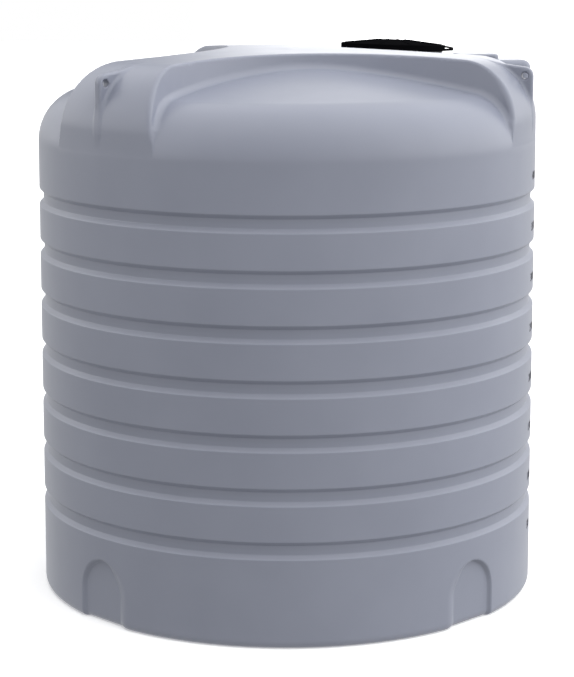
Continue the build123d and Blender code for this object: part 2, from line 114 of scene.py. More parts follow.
# manhole neck, leaning outwards a little, with the flange that the ring sits on
NECK_AZIMUTH = 135.0
NECK_REACH = 590.0
NECK_HEIGHT = 1990.0
NECK_LEAN = math.radians(2.5)
NECK_RADIUS = 172.0
NECK_FLANGE = 196.0
NECK_FLANGE_THICKNESS = 12.0
NECK_FLANGE_EDGES = (2.0, 3.0)
NECK_FLANGE_CORNER = 6.0
NECK_LENGTH = 140.0
NECK_BLEND = 18.0
# net of the roof's outer skin: its cell, its lowest height and the share of it that is kept
ROOF_CELL = 9.0
ROOF_START = FLOOR_HUB[1] - 15.9
ROOF_KEPT = 0.52


def outward(azimuth):
    """Unit vector in plan at an azimuth counted from the front (-Y) towards +X."""
    a = math.radians(azimuth - 90)
    return math.cos(a), math.sin(a)


neck_out = outward(NECK_AZIMUTH)
tilt = math.sin(NECK_LEAN)
NECK_Z = Vector((tilt * neck_out[0], tilt * neck_out[1], math.cos(NECK_LEAN)))
NECK_X = (Vector((1, 0, 0)) - NECK_Z * NECK_Z.x).normalized()
NECK_Y = NECK_Z.cross(NECK_X)
NECK_ORIGIN = Vector((NECK_REACH * neck_out[0], NECK_REACH * neck_out[1], NECK_HEIGHT))


def round_union(a, b, radius):
    """Distance to two joined bodies, with a fillet of that radius in the corner."""
    apart = np.hypot(np.maximum(radius - a, 0), np.maximum(radius - b, 0))
    return np.maximum(radius, np.minimum(a, b)) - apart


def round_common(a, b, radius):
    """Distance to what two bodies share, with its edge rounded to that radius."""
    return -round_union(-a, -b, radius)


def shoulder_distance(r, z, hub, radius, slope):
    """Distance to a wall that turns through an arc into a sloping roof."""
    dr = r - hub[0]
    dz = z - hub[1]
    on_roof = dr * math.cos(slope) - dz * math.sin(slope) < 0
    roof = dr * math.sin(slope) + dz * math.cos(slope) - radius
    arc = np.hypot(dr, dz) - radius
    return np.where(on_roof, roof, np.where(dz < 0, dr - radius, arc))


def crown_distance(r, z):
    """Distance to the wall, shoulder and dome of the lands."""
    drop = math.sqrt((CROWN_RADIUS - LAND_SHOULDER) ** 2 - LAND_HUB[0] ** 2)
    centre = LAND_HUB[1] - drop
    dr = r - LAND_HUB[0]
    dz = z - LAND_HUB[1]
    on_dome = dr * drop - dz * LAND_HUB[0] < 0
    dome = np.hypot(r, z - centre) - CROWN_RADIUS
    arc = np.hypot(dr, dz) - LAND_SHOULDER
    return np.where(on_dome, dome, np.where(dz < 0, dr - LAND_SHOULDER, arc))


def block_distance(x, y, z, reach, top, edge):
    """Distance to one rounded block of the boss."""
    c, s = outward(BOSS_AZIMUTH)
    u = x * c + y * s
    v = np.abs(-x * s + y * c)
    sides = round_common(v - BOSS_HALF, np.maximum(u - reach, BOSS_ROOT_REACH - u), BOSS_CORNER)
    return round_common(sides, z - top, edge)


def lug_distance(x, y, z, azimuth):
    """Distance to one tie-down lug with its hole."""
    c, s = outward(azimuth)
    u = x * c + y * s
    v = np.abs(-x * s + y * c)
    run = LUG_REACH - LUG_ROOT[0]
    rise = LUG_ROOT[1] - LUG_TOP
    top = ((z - LUG_TOP) * run - (LUG_REACH - u) * rise) / math.hypot(run, rise)
    outline = round_common(u - LUG_REACH, top, LUG_CORNER)
    outline = np.maximum(outline, LUG_ROOT[0] - LUG_SUNK - u)
    lug = round_common(outline, v - LUG_HALF, LUG_EDGE)
    hole = np.hypot(u - LUG_HOLE[0], z - LUG_HOLE[1]) - LUG_HOLE[2]
    return round_common(lug, -hole, LUG_HOLE_EDGE)


def roof_distance(x, y, z):
    """Distance to the moulded roof, from the top groove up; inside is negative."""
    r = np.hypot(x, y)
    floor = shoulder_distance(r, z, FLOOR_HUB, FLOOR_SHOULDER, FLOOR_SLOPE)
    crown = crown_distance(r, z)
    lift = np.hypot(FLOOR_SHOULDER, np.maximum(z - FLOOR_HUB[1], 0)) - FLOOR_SHOULDER
    rim = np.clip(RIM_FILLET[0] + (RIM_FILLET_TOP - z) * RIM_FILLET_GROWTH, *RIM_FILLET)
    rim = np.minimum(rim, 0.5 + lift * 0.7)
    for azimuth in RECESS_AZIMUTHS:
        c, s = outward(azimuth)
        away = np.hypot(x - RECESS_REACH * c, y - RECESS_REACH * s)
        spread = RECESS_RADIUS + (z - FLOOR_HUB[1]) * math.tan(RECESS_DRAFT)
        recess = (away - spread) * math.cos(RECESS_DRAFT)
        crown = round_common(crown, -recess, rim)
    foot = np.clip(lift, LEAST_FILLET, FOOT_FILLET)
    roof = round_union(floor, crown, foot)
    blend = np.clip(lift * 0.8, LEAST_FILLET, LUG_BLEND)
    for azimuth in LUG_AZIMUTHS:
        roof = round_union(roof, lug_distance(x, y, z, azimuth), blend)
    boss = 1e6
    for reach, top, edge in BOSS_BLOCKS:
        boss = np.minimum(boss, block_distance(x, y, z, reach, top, edge))
    boss = np.maximum(boss, BOSS_ROOT_HEIGHT - z)
    roof = round_union(roof, boss, blend)
    dx = x - NECK_ORIGIN.x
    dy = y - NECK_ORIGIN.y
    dz = z - NECK_ORIGIN.z
    h = dx * NECK_Z.x + dy * NECK_Z.y + dz * NECK_Z.z
    rho = np.sqrt(np.maximum(dx * dx + dy * dy + dz * dz - h * h, 0))
    barrel = np.maximum(rho - NECK_RADIUS, h)
    flange = round_common(rho - NECK_FLANGE, h, NECK_FLANGE_EDGES[0])
    flange = round_common(flange, -NECK_FLANGE_THICKNESS - h, NECK_FLANGE_EDGES[1])
    neck = round_union(barrel, flange, NECK_FLANGE_CORNER)
    neck = np.maximum(neck, -NECK_LENGTH - h)
    return round_union(roof, neck, NECK_BLEND)


def surface_net(distance, low, high, cell):
    """Points and four-sided faces of the surface where the distance is zero."""
    axes = [np.arange(low[i], high[i] + cell, cell) for i in range(3)]
    grid = np.meshgrid(*axes, indexing="ij")
    field = distance(*grid)
    size = np.array(field.shape) - 1
    total = np.zeros(tuple(size) + (3,))
    count = np.zeros(tuple(size))
    crossings = []
    for axis in range(3):
        near = [slice(None)] * 3
        far = [slice(None)] * 3
        near[axis] = slice(0, -1)
        far[axis] = slice(1, None)
        a = field[tuple(near)]
        b = field[tuple(far)]
        index = np.argwhere((a < 0) != (b < 0))
        va = a[tuple(index.T)]
        vb = b[tuple(index.T)]
        point = np.stack([axes[i][index[:, i]] for i in range(3)], 1)
        point[:, axis] += cell * va / (va - vb)
        crossings.append((axis, index, va < 0))
        others = [i for i in range(3) if i != axis]
        for da in (0, 1):
            for db in (0, 1):
                cell_index = index.copy()
                cell_index[:, others[0]] -= da
                cell_index[:, others[1]] -= db
                good = ((cell_index >= 0) & (cell_index < size)).all(1)
                where = tuple(cell_index[good].T)
                np.add.at(total, where, point[good])
                np.add.at(count, where, 1)
    used = np.argwhere(count > 0)
    number = -np.ones(tuple(size), int)
    number[tuple(used.T)] = np.arange(len(used))
    points = total[tuple(used.T)] / count[tuple(used.T)][:, None]
    faces = []
    for axis, index, outgoing in crossings:
        first, second = [(1, 2), (2, 0), (0, 1)][axis]
        corners = []
        for da, db in ((0, 0), (1, 0), (1, 1), (0, 1)):
            cell_index = index.copy()
            cell_index[:, first] -= da
            cell_index[:, second] -= db
            good = ((cell_index >= 0) & (cell_index < size)).all(1)
            corner = -np.ones(len(index), int)
            corner[good] = number[tuple(cell_index[good].T)]
            corners.append(corner)
        quads = np.stack(corners, 1)
        whole = (quads >= 0).all(1)
        quads = quads[whole]
        flip = ~outgoing[whole]
        quads[flip] = quads[flip][:, ::-1]
        faces.append(quads)
    return points, np.concatenate(faces)


def slope_of(distance, points, step=0.05):
    """Direction and rate in which the distance grows at each point."""
    x, y, z = points.T
    return np.stack([distance(x + step, y, z) - distance(x - step, y, z),
                     distance(x, y + step, z) - distance(x, y - step, z),
                     distance(x, y, z + step) - distance(x, y, z - step)], 1) / (2 * step)


def settle(distance, points, rounds=5):
    """Moves points onto the surface where the distance is zero."""
    for _ in range(rounds):
        value = distance(*points.T)
        slope = slope_of(distance, points)
        length = np.maximum((slope ** 2).sum(1), 0.2)
        points = points - slope * (np.clip(value, -3, 3) / length)[:, None]
    return points


def zip_loops(bm, lower, upper, angle_of):
    """Closes the ring between two loops of vertices with triangles, going round by angle."""
    low = sorted(lower, key=angle_of)
    high = sorted(upper, key=angle_of)
    low_angles = [angle_of(v) for v in low]
    high_angles = [angle_of(v) for v in high]
    low_angles.append(low_angles[0] + 2 * math.pi)
    high_angles.append(high_angles[0] + 2 * math.pi)
    i = 0
    j = 0
    while i < len(low) or j < len(high):
        a = low[i % len(low)]
        b = high[j % len(high)]
        go_low = j >= len(high) or (i < len(low) and low_angles[i + 1] <= high_angles[j + 1])
        if go_low:
            bm.faces.new((a, low[(i + 1) % len(low)], b))
            i += 1
        else:
            bm.faces.new((a, high[(j + 1) % len(high)], b))
            j += 1


def open_loops(bm):
    """Loops of vertices along the edges that have one face."""
    left = dict.fromkeys(edge for edge in bm.edges if len(edge.link_faces) == 1)
    loops = []
    while left:
        edge = left.popitem()[0]
        loop = [edge.verts[0], edge.verts[1]]
        while True:
            following = [e for e in loop[-1].link_edges if e in left]
            if not following:
                break
            del left[following[0]]
            loop.append(following[0].other_vert(loop[-1]))
        if loop[0] == loop[-1]:
            loop.pop()
        loops.append(loop)
    return loops


def loop_near(loops, centre, reach):
    """The open loop whose middle lies within a reach of a place."""
    for loop in loops:
        middle = sum((v.co for v in loop), Vector()) / len(loop)
        if (middle - centre).length < reach:
            return loop
    raise ValueError(f"no open loop near {tuple(centre)}")


def about_axis(origin, x_axis, y_axis):
    """Function that gives a vertex's angle about an axis."""
    def angle(vertex):
        d = vertex.co - origin
        return math.atan2(d.dot(y_axis), d.dot(x_axis))
    return angle


def snap_to_circle(loop, origin, normal, radius):
    """Moves a loop's vertices onto a circle."""
    for vertex in loop:
        d = vertex.co - origin
        d -= normal * d.dot(normal)
        vertex.co = origin + d.normalized() * radius


def smooth_step(t):
    t = min(max(t, 0.0), 1.0)
    return t * t * (3 - 2 * t)


def soft_ramp(t, rounding):
    """Straight ramp from 0 to 1 with a rounded start and end."""
    if t > 0.5:
        return 1 - soft_ramp(1 - t, rounding)
    if t > rounding:
        return t
    return max(t + rounding, 0.0) ** 2 / (4 * rounding)


def wall_radius(azimuth, z):
    """Radius of the wall, with its grooves and its arched pads."""
    radius = TANK_RADIUS
    for index in range(GROOVE_COUNT):
        off = abs(z - FIRST_GROOVE - index * GROOVE_PITCH)
        ramp = (GROOVE_OPENING_HALF - off) / (GROOVE_OPENING_HALF - GROOVE_FLOOR_HALF)
        radius -= GROOVE_DEPTH * soft_ramp(ramp, GROOVE_ROUNDING)
    arch = PAD_WIDTH / 2
    for centre in PAD_AZIMUTHS:
        turn = math.radians((azimuth - centre + 180) % 360 - 180)
        if abs(turn) > PAD_TURN or z > PAD_HEIGHT + PAD_EDGE:
            continue
        u = TANK_RADIUS * math.sin(turn)
        # the front left pad fades out on its right, the others on their left
        if centre == FRONT_LEFT_PAD:
            u = -u
        rise = max(z - PAD_HEIGHT + arch, 0)
        reach = math.hypot(u, rise)
        soft = smooth_step(0.1 - u / max(reach, 1.0)) * smooth_step(reach / arch)
        width = PAD_EDGE if centre == OUTLET_AZIMUTH else PAD_EDGE + (PAD_SOFT_EDGE - PAD_EDGE) * soft
        share = smooth_step((arch - reach + PAD_EDGE / 2) / width)
        radius += ((TANK_RADIUS - PAD_DEPTH) / math.cos(turn) - radius) * share
    return radius


def ring_of(bm, azimuths, place):
    """One ring of vertices; place gives radius and height at an azimuth."""
    ring = []
    for azimuth in azimuths:
        radius, z = place(azimuth)
        c, s = outward(azimuth)
        ring.append(bm.verts.new((radius * c, radius * s, z)))
    return ring


def bridge(bm, below, above):
    """Four-sided faces between two rings of as many vertices."""
    for k in range(len(below)):
        n = (k + 1) % len(below)
        bm.faces.new((below[k], below[n], above[n], above[k]))


def build_foot(bm):
    """Base, base corner and the plain band with the pads. Returns its top ring."""
    azimuths = []
    half = math.degrees(PAD_TURN)
    fine, coarse = FOOT_COLUMNS
    for centre in PAD_AZIMUTHS:
        azimuths += [centre - half + 2 * half * k / fine for k in range(fine)]
        azimuths += [centre + half + (90 - 2 * half) * k / coarse for k in range(coarse)]
    pole = bm.verts.new((0, 0, 0))
    middle = ring_of(bm, azimuths, lambda a: (TANK_RADIUS / 2, 0))
    for k in range(len(middle)):
        bm.faces.new((pole, middle[(k + 1) % len(middle)], middle[k]))
    last = middle
    for step in range(CORNER_STEPS):
        bend = math.radians(-90 + 90 * step / (CORNER_STEPS - 1))

        def corner(a, bend=bend):
            edge = wall_radius(a, BASE_CORNER) - BASE_CORNER
            return edge + BASE_CORNER * math.cos(bend), BASE_CORNER * (1 + math.sin(bend))
        ring = ring_of(bm, azimuths, corner)
        bridge(bm, last, ring)
        last = ring
    top = PAD_HEIGHT + 30
    for row in range(1, FOOT_ROWS + 1):
        z = BASE_CORNER + (top - BASE_CORNER) * row / FOOT_ROWS
        ring = ring_of(bm, azimuths, lambda a, z=z: (wall_radius(a, z), z))
        bridge(bm, last, ring)
        last = ring
    return last


def build_bands(bm, foot_top):
    """The grooved wall, from the foot up to where the roof takes over."""
    azimuths = [2.0 * k for k in range(180)]
    ramp = GROOVE_OPENING_HALF - GROOVE_FLOOR_HALF
    turns = [GROOVE_ROUNDING * k for k in (-2.2, -1.0, -0.33, 0.33, 1.0)]
    steps = [GROOVE_OPENING_HALF - ramp * t for t in turns + [1 - t for t in reversed(turns)]]
    heights = [FIRST_GROOVE - GROOVE_PITCH / 2 + 12]
    for index in range(GROOVE_COUNT):
        middle = FIRST_GROOVE + index * GROOVE_PITCH
        heights += [middle - d for d in steps]
        heights += [middle + d for d in reversed(steps)]
    heights.append(ROOF_START - 6)
    around = about_axis(Vector(), Vector((1, 0, 0)), Vector((0, 1, 0)))
    last = None
    for z in heights:
        ring = ring_of(bm, azimuths, lambda a, z=z: (wall_radius(a, z), z))
        if last is None:
            zip_loops(bm, foot_top, ring, around)
        else:
            bridge(bm, last, ring)
        last = ring


def thinned(bm, share):
    """Same surface with a share of its triangles, taken away where it is flattest."""
    mesh = bpy.data.meshes.new("dense")
    bm.to_mesh(mesh)
    bm.free()
    obj = bpy.data.objects.new("dense", mesh)
    bpy.context.scene.collection.objects.link(obj)
    obj.modifiers.new("thin", "DECIMATE").ratio = share
    light = bpy.data.meshes.new_from_object(obj.evaluated_get(bpy.context.evaluated_depsgraph_get()))
    result = bmesh.new()
    result.from_mesh(light)
    bpy.data.objects.remove(obj)
    bpy.data.meshes.remove(mesh)
    bpy.data.meshes.remove(light)
    return result


def build_roof(bm):
    """The moulded roof with its lugs, boss and neck. Its lower edge stays open."""
    reach = TANK_RADIUS + 1.5 * ROOF_CELL
    low = (-reach, -reach, ROOF_START)
    high = (reach, reach, LAND_HUB[1] + 270)
    points, faces = surface_net(roof_distance, low, high, ROOF_CELL)
    points = settle(roof_distance, points)
    roof = bmesh.new()
    verts = [roof.verts.new(p) for p in points]
    for face in faces:
        roof.faces.new([verts[k] for k in face])
    c, s = outward(BOSS_AZIMUTH)
    face_reach = BOSS_BLOCKS[0][0]
    gone = []
    for vertex in roof.verts:
        d = vertex.co - NECK_ORIGIN
        h = d.dot(NECK_Z)
        if abs(h) < 2 and (d - NECK_Z * h).length < NECK_RADIUS - WALL:
            gone.append(vertex)
        u = vertex.co.x * c + vertex.co.y * s
        v = -vertex.co.x * s + vertex.co.y * c
        if abs(u - face_reach) < 1 and math.hypot(v, vertex.co.z - OVERFLOW_HEIGHT) < OVERFLOW_HOLE:
            gone.append(vertex)
    bmesh.ops.delete(roof, geom=gone, context="VERTS")
    roof = thinned(roof, ROOF_KEPT)
    points = settle(roof_distance, np.array([v.co for v in roof.verts]), 2)
    for vertex, point in zip(roof.verts, points):
        if not vertex.is_boundary:
            vertex.co = point
    loops = open_loops(roof)
    snap_to_circle(loop_near(loops, NECK_ORIGIN, 30), NECK_ORIGIN, NECK_Z, NECK_RADIUS - WALL)
    centre = Vector((face_reach * c, face_reach * s, OVERFLOW_HEIGHT))
    snap_to_circle(loop_near(loops, centre, 30), centre, Vector((c, s, 0)), OVERFLOW_HOLE)
    for vertex in loop_near(loops, Vector((0, 0, ROOF_START)), 60):
        flat = Vector((vertex.co.x, vertex.co.y, 0)).normalized() * TANK_RADIUS
        vertex.co = (flat.x, flat.y, ROOF_START)
    mesh = bpy.data.meshes.new("roof")
    roof.to_mesh(mesh)
    roof.free()
    bm.from_mesh(mesh)
    bpy.data.meshes.remove(mesh)


def build_inside(bm):
    """The tank's inner skin, copied from the CAD shell's inner faces."""
    inner = bmesh.new()
    inner.from_mesh(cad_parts["tank_shell"].data)
    for vertex in inner.verts:
        vertex.co *= 1000
    bmesh.ops.remove_doubles(inner, verts=inner.verts, dist=0.01)
    circles = [(NECK_ORIGIN, NECK_Z, NECK_RADIUS - WALL)]
    holes = ((OUTLET_AZIMUTH, TANK_RADIUS - PAD_DEPTH, OUTLET_HEIGHT, OUTLET_HOLE),
             (BOSS_AZIMUTH, BOSS_BLOCKS[0][0], OVERFLOW_HEIGHT, OVERFLOW_HOLE))
    for azimuth, reach, height, radius in holes:
        c, s = outward(azimuth)
        circles.append((Vector((reach * c, reach * s, height)), Vector((c, s, 0)), radius))

    def on_circle(vertex):
        for origin, normal, radius in circles:
            d = vertex.co - origin
            h = d.dot(normal)
            if abs(h) < 0.2 and abs((d - normal * h).length - radius) < 0.3:
                return True
        return False
    rim = {vertex for vertex in inner.verts if on_circle(vertex)}
    seed = min(inner.faces, key=lambda f: (f.calc_center_median() - Vector((0, 0, WALL))).length)
    kept = {seed}
    queue = [seed]
    while queue:
        face = queue.pop()
        for edge in face.edges:
            if edge.verts[0] in rim and edge.verts[1] in rim:
                continue
            for other in edge.link_faces:
                if other not in kept:
                    kept.add(other)
                    queue.append(other)
    bmesh.ops.delete(inner, geom=[f for f in inner.faces if f not in kept], context="FACES")
    mesh = bpy.data.meshes.new("inside")
    inner.to_mesh(mesh)
    inner.free()
    bm.from_mesh(mesh)
    bpy.data.meshes.remove(mesh)
    return circles


def cut_outlet(bm):
    """Opens the rear right pad for the outlet fitting."""
    c, s = outward(OUTLET_AZIMUTH)
    centre = Vector(((TANK_RADIUS - PAD_DEPTH) * c, (TANK_RADIUS - PAD_DEPTH) * s, OUTLET_HEIGHT))
    gone = [v for v in bm.verts if (v.co - centre).length < OUTLET_HOLE]
    bmesh.ops.delete(bm, geom=gone, context="VERTS")
    loop = loop_near(open_loops(bm), centre, 30)
    snap_to_circle(loop, centre, Vector((c, s, 0)), OUTLET_HOLE)


def make_object(name, bm):
    """Turns a bmesh in millimetres into a smooth mesh object in metres."""
    for vertex in bm.verts:
        vertex.co *= 0.001
    mesh = bpy.data.meshes.new(name)
    bm.to_mesh(mesh)
    bm.free()
    obj = bpy.data.objects.new(name, mesh)
    bpy.context.scene.collection.objects.link(obj)
    mesh.polygons.foreach_set("use_smooth", [True] * len(mesh.polygons))
    return obj


def build_shell():
    """The whole closed shell: foot, bands and roof outside, the tank's own skin inside."""
    bm = bmesh.new()
    foot_top = build_foot(bm)
    cut_outlet(bm)
    build_bands(bm, [v for v in foot_top if v.is_valid])
    build_roof(bm)
    circles = build_inside(bm)
    loops = open_loops(bm)
    around = about_axis(Vector(), Vector((1, 0, 0)), Vector((0, 1, 0)))
    level = [loop for loop in loops if abs(loop[0].co.z - ROOF_START) < 7 and len(loop) > 150]
    zip_loops(bm, level[0], level[1], around)
    for origin, normal, radius in circles:
        pair = [loop for loop in loops
                if all(abs((v.co - origin).length - radius) < 2 for v in loop)]
        x_axis = normal.orthogonal().normalized()
        zip_loops(bm, pair[0], pair[1], about_axis(origin, x_axis, normal.cross(x_axis)))
    bmesh.ops.recalc_face_normals(bm, faces=bm.faces)
    shell = make_object("tank_shell_skin", bm)
    # the roof's normals come from its distance, so that no facet of the net shows
    places = np.array([v.co for v in shell.data.vertices]) * 1000
    normals = np.array([v.normal for v in shell.data.vertices])
    on_roof = (places[:, 2] > ROOF_START + 5) & (np.abs(roof_distance(*places.T)) < 0.3)
    slope = slope_of(roof_distance, places[on_roof], 1.0)
    normals[on_roof] = slope / np.linalg.norm(slope, axis=1)[:, None]
    shell.data.normals_split_custom_set_from_vertices(normals)
    return shell


def srgb(code):
    """Linear colour of an sRGB hex value."""
    values = [int(code[i:i + 2], 16) / 255 for i in (1, 3, 5)]
    linear = [v / 12.92 if v <= 0.04045 else ((v + 0.055) / 1.055) ** 2.4 for v in values]
    return (*linear, 1.0)


def add_node(tree, kind, inputs=None, links=None, **settings):
    """Adds a shader or geometry node with its settings, input values and links."""
    node = tree.nodes.new(kind)
    for name, value in settings.items():
        setattr(node, name, value)
    for name, value in (inputs or {}).items():
        node.inputs[name].default_value = value
    for name, socket in (links or {}).items():
        tree.links.new(socket, node.inputs[name])
    return node


def new_material(name, roughness, metallic=0.0, ior=1.5):
    """Material with a plain Principled shader. Returns it, its tree and the shader."""
    material = bpy.data.materials.new(name)
    material.use_nodes = True
    tree = material.node_tree
    shader = tree.nodes["Principled BSDF"]
    shader.inputs["Roughness"].default_value = roughness
    shader.inputs["Metallic"].default_value = metallic
    shader.inputs["IOR"].default_value = ior
    return material, tree, shader


def lumps(size):
    """Scale of a noise whose lumps have a size in mm."""
    return 1000 / size


def rotomoulded_polyethylene():
    """Linear low-density polyethylene as it leaves the mould: a satin skin with a faint
    orange peel of 4 mm lumps and slow waves a hand wide, and soft cloudy shifts of tone."""
    material, tree, shader = new_material("rotomoulded_polyethylene", 0.42, ior=1.51)
    place = add_node(tree, "ShaderNodeTexCoord").outputs["Object"]
    cloud = add_node(tree, "ShaderNodeTexNoise", {"Scale": lumps(350), "Detail": 3.0, "Roughness": 0.5},
                     {"Vector": place})
    tone = add_node(tree, "ShaderNodeValToRGB", links={"Fac": cloud.outputs["Fac"]})
    tone.color_ramp.elements[0].position = 0.3
    tone.color_ramp.elements[0].color = srgb("#808492")
    tone.color_ramp.elements[1].position = 0.7
    tone.color_ramp.elements[1].color = srgb("#858997")
    tree.links.new(tone.outputs["Color"], shader.inputs["Base Color"])
    gloss = add_node(tree, "ShaderNodeTexNoise", {"Scale": lumps(120), "Detail": 4.0, "Roughness": 0.6},
                     {"Vector": place})
    rough = add_node(tree, "ShaderNodeMapRange", {"To Min": 0.30, "To Max": 0.38},
                     {"Value": gloss.outputs["Fac"]})
    tree.links.new(rough.outputs["Result"], shader.inputs["Roughness"])
    waves = add_node(tree, "ShaderNodeTexNoise", {"Scale": lumps(90), "Detail": 1.0}, {"Vector": place})
    peel = add_node(tree, "ShaderNodeTexNoise", {"Scale": lumps(4), "Detail": 2.0}, {"Vector": place})
    slow = add_node(tree, "ShaderNodeBump", {"Strength": 0.06, "Distance": 0.004},
                    {"Height": waves.outputs["Fac"]})
    fine = add_node(tree, "ShaderNodeBump", {"Strength": 0.10, "Distance": 0.0004},
                    {"Height": peel.outputs["Fac"], "Normal": slow.outputs["Normal"]})
    tree.links.new(fine.outputs["Normal"], shader.inputs["Normal"])
    return material


tank_skin = build_shell()
tank_skin.data.materials.append(rotomoulded_polyethylene())
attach(tank_skin, "tank")
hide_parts("tank_shell")

# Level marks: raised figures on the right-hand side of the wall, one to a band, coloured dark
# as painted shade that stands in for the shade on their raised edges. They count every 500
# litres from the lowest band up.
MARK_AZIMUTH = 77.5
MARK_FIRST = 230.0
MARK_PITCH = 189.0
MARK_HEIGHT = 30.0
MARK_PROUD = 0.6
MARK_SUNK = 0.2


def figure_mesh(text, azimuth, height):
    """Mesh of one number, bent round the wall."""
    curve = bpy.data.curves.new("figures", "FONT")
    curve.body = text
    curve.align_x = "CENTER"
    curve.size = MARK_HEIGHT / 0.7
    curve.extrude = (MARK_PROUD + MARK_SUNK) / 2
    curve.resolution_u = 3
    obj = bpy.data.objects.new("figures", curve)
    bpy.context.scene.collection.objects.link(obj)
    graph = bpy.context.evaluated_depsgraph_get()
    mesh = bpy.data.meshes.new_from_object(obj.evaluated_get(graph))
    bpy.data.objects.remove(obj)
    bpy.data.curves.remove(curve)
    for vertex in mesh.vertices:
        x, y, z = vertex.co
        radius = TANK_RADIUS + z + (MARK_PROUD - MARK_SUNK) / 2
        c, s = outward(azimuth + math.degrees(x / TANK_RADIUS))
        vertex.co = (radius * c, radius * s, height + y)
    return mesh


def figure_shade_paint():
    """Painted shade on the raised figures: a matt charcoal that stands in for the shade on their edges, a
    little uneven every 6 mm.
    """
    material, tree, shader = new_material("painted_figure_shade", 0.7)
    place = add_node(tree, "ShaderNodeTexCoord").outputs["Object"]
    shade_unevenness = add_node(tree, "ShaderNodeTexNoise", {"Scale": lumps(6), "Detail": 3.0}, {"Vector": place})
    tone = add_node(tree, "ShaderNodeValToRGB", links={"Fac": shade_unevenness.outputs["Fac"]})
    # painted shade: these charcoal tones stand in for the shade on the figures' raised edges
    tone.color_ramp.elements[0].color = srgb("#48484E")
    tone.color_ramp.elements[1].color = srgb("#585860")
    tree.links.new(tone.outputs["Color"], shader.inputs["Base Color"])
    return material


marks_bm = bmesh.new()
for index in range(GROOVE_COUNT + 1):
    figures = figure_mesh(str(500 * (index + 1)), MARK_AZIMUTH, MARK_FIRST + index * MARK_PITCH)
    marks_bm.from_mesh(figures)
    bpy.data.meshes.remove(figures)
bmesh.ops.remove_doubles(marks_bm, verts=marks_bm.verts, dist=0.001)
level_marks = make_object("level_marks", marks_bm)
level_marks.data.polygons.foreach_set("use_smooth", [False] * len(level_marks.data.polygons))
# the figures' dark colour is painted shade, not paint on the tank
level_marks.data.materials.append(figure_shade_paint())
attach(level_marks, "tank")

# Manhole ring and lid: injection-moulded black polypropylene with a fine spark-eroded grain.
# The ring is screwed down on the neck's flange, and the ribbed lid turns on the ring's two ears.
# They keep the shapes that the frame gives them.


def moulded_polypropylene():
    """Black polypropylene: a dull black that mirrors nothing, with a fine even mould grain. The
    grain is drawn 1.5 mm coarse, because its real half millimetre doesn't show."""
    material, tree, shader = new_material("moulded_black_polypropylene", 0.7, ior=1.49)
    shader.inputs["Specular IOR Level"].default_value = 0.0
    place = add_node(tree, "ShaderNodeTexCoord").outputs["Object"]
    patch = add_node(tree, "ShaderNodeTexNoise", {"Scale": lumps(50), "Detail": 4.0}, {"Vector": place})
    tone = add_node(tree, "ShaderNodeValToRGB", links={"Fac": patch.outputs["Fac"]})
    tone.color_ramp.elements[0].color = srgb("#0A0A0B")
    tone.color_ramp.elements[1].color = srgb("#0F0F11")
    tree.links.new(tone.outputs["Color"], shader.inputs["Base Color"])
    grain = add_node(tree, "ShaderNodeTexNoise", {"Scale": lumps(1.5), "Detail": 2.0}, {"Vector": place})
    bump = add_node(tree, "ShaderNodeBump", {"Strength": 0.15, "Distance": 0.0003},
                    {"Height": grain.outputs["Fac"]})
    tree.links.new(bump.outputs["Normal"], shader.inputs["Normal"])
    return material


def finish_nodes(nodes, material):
    """Gives nodes of the frame their material."""
    for node in nodes:
        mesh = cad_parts[node].data
        mesh.materials.clear()
        mesh.materials.append(material)


black_plastic = moulded_polypropylene()
finish_nodes(("manhole_ring", "manhole_lid"), black_plastic)

# Seals: flat rings punched from EPDM sheet, under the ring, in the lid and on the outside
# of the wall behind the two fittings. Each is held by the piece that presses on it.


def moulded_rubber():
    """EPDM rubber: matt and nearly black, with a faint bloom in patches of 20 mm."""
    material, tree, shader = new_material("epdm_rubber", 0.75, ior=1.52)
    place = add_node(tree, "ShaderNodeTexCoord").outputs["Object"]
    bloom = add_node(tree, "ShaderNodeTexNoise", {"Scale": lumps(20), "Detail": 5.0}, {"Vector": place})
    tone = add_node(tree, "ShaderNodeValToRGB", links={"Fac": bloom.outputs["Fac"]})
    tone.color_ramp.elements[0].color = srgb("#1B1B1B")
    tone.color_ramp.elements[1].color = srgb("#2A2A29")
    tree.links.new(tone.outputs["Color"], shader.inputs["Base Color"])
    return material


finish_nodes(("ring_gasket", "lid_seal", "outlet_gasket", "overflow_gasket"), moulded_rubber())

# Ring screws: eight stainless pan-headed screws with a hexagon socket. They go down through the
# ring and its gasket into the neck's flange, and each stops at its own turn. Sizes in mm, as
# radius and height; the pan's profile is shares of the head's height and radius.
SCREW_COUNT = 8
SCREW_START = math.radians(22.5)
SCREW_CIRCLE = NECK_RADIUS + 11.0
SCREW_SEAT = 11.0
SCREW_HEAD = (5.5, 3.6)
SCREW_SHANK = (2.5, 19.0)
SCREW_SOCKET = (1.8, 2.0)
SCREW_PAN = ((0.0, 0.97), (0.15, 1.0), (0.45, 0.98), (0.75, 0.9), (1.0, 0.72))
SCREW_OVERLAP = 0.3
SCREW_SHARP = 0.6
SCREW_SEED = 5


def turned_stainless():
    """Stainless steel of the screws and the screen: bright metal with a fine unevenness of
    half a millimetre in its gloss, from turning and punching."""
    material, tree, shader = new_material("turned_stainless_steel", 0.3, metallic=1.0)
    shader.inputs["Base Color"].default_value = srgb("#B9BABC")
    place = add_node(tree, "ShaderNodeTexCoord").outputs["Object"]
    marks = add_node(tree, "ShaderNodeTexNoise", {"Scale": lumps(0.5), "Detail": 1.0}, {"Vector": place})
    rough = add_node(tree, "ShaderNodeMapRange", {"To Min": 0.22, "To Max": 0.4},
                     {"Value": marks.outputs["Fac"]})
    tree.links.new(rough.outputs["Result"], shader.inputs["Roughness"])
    return material


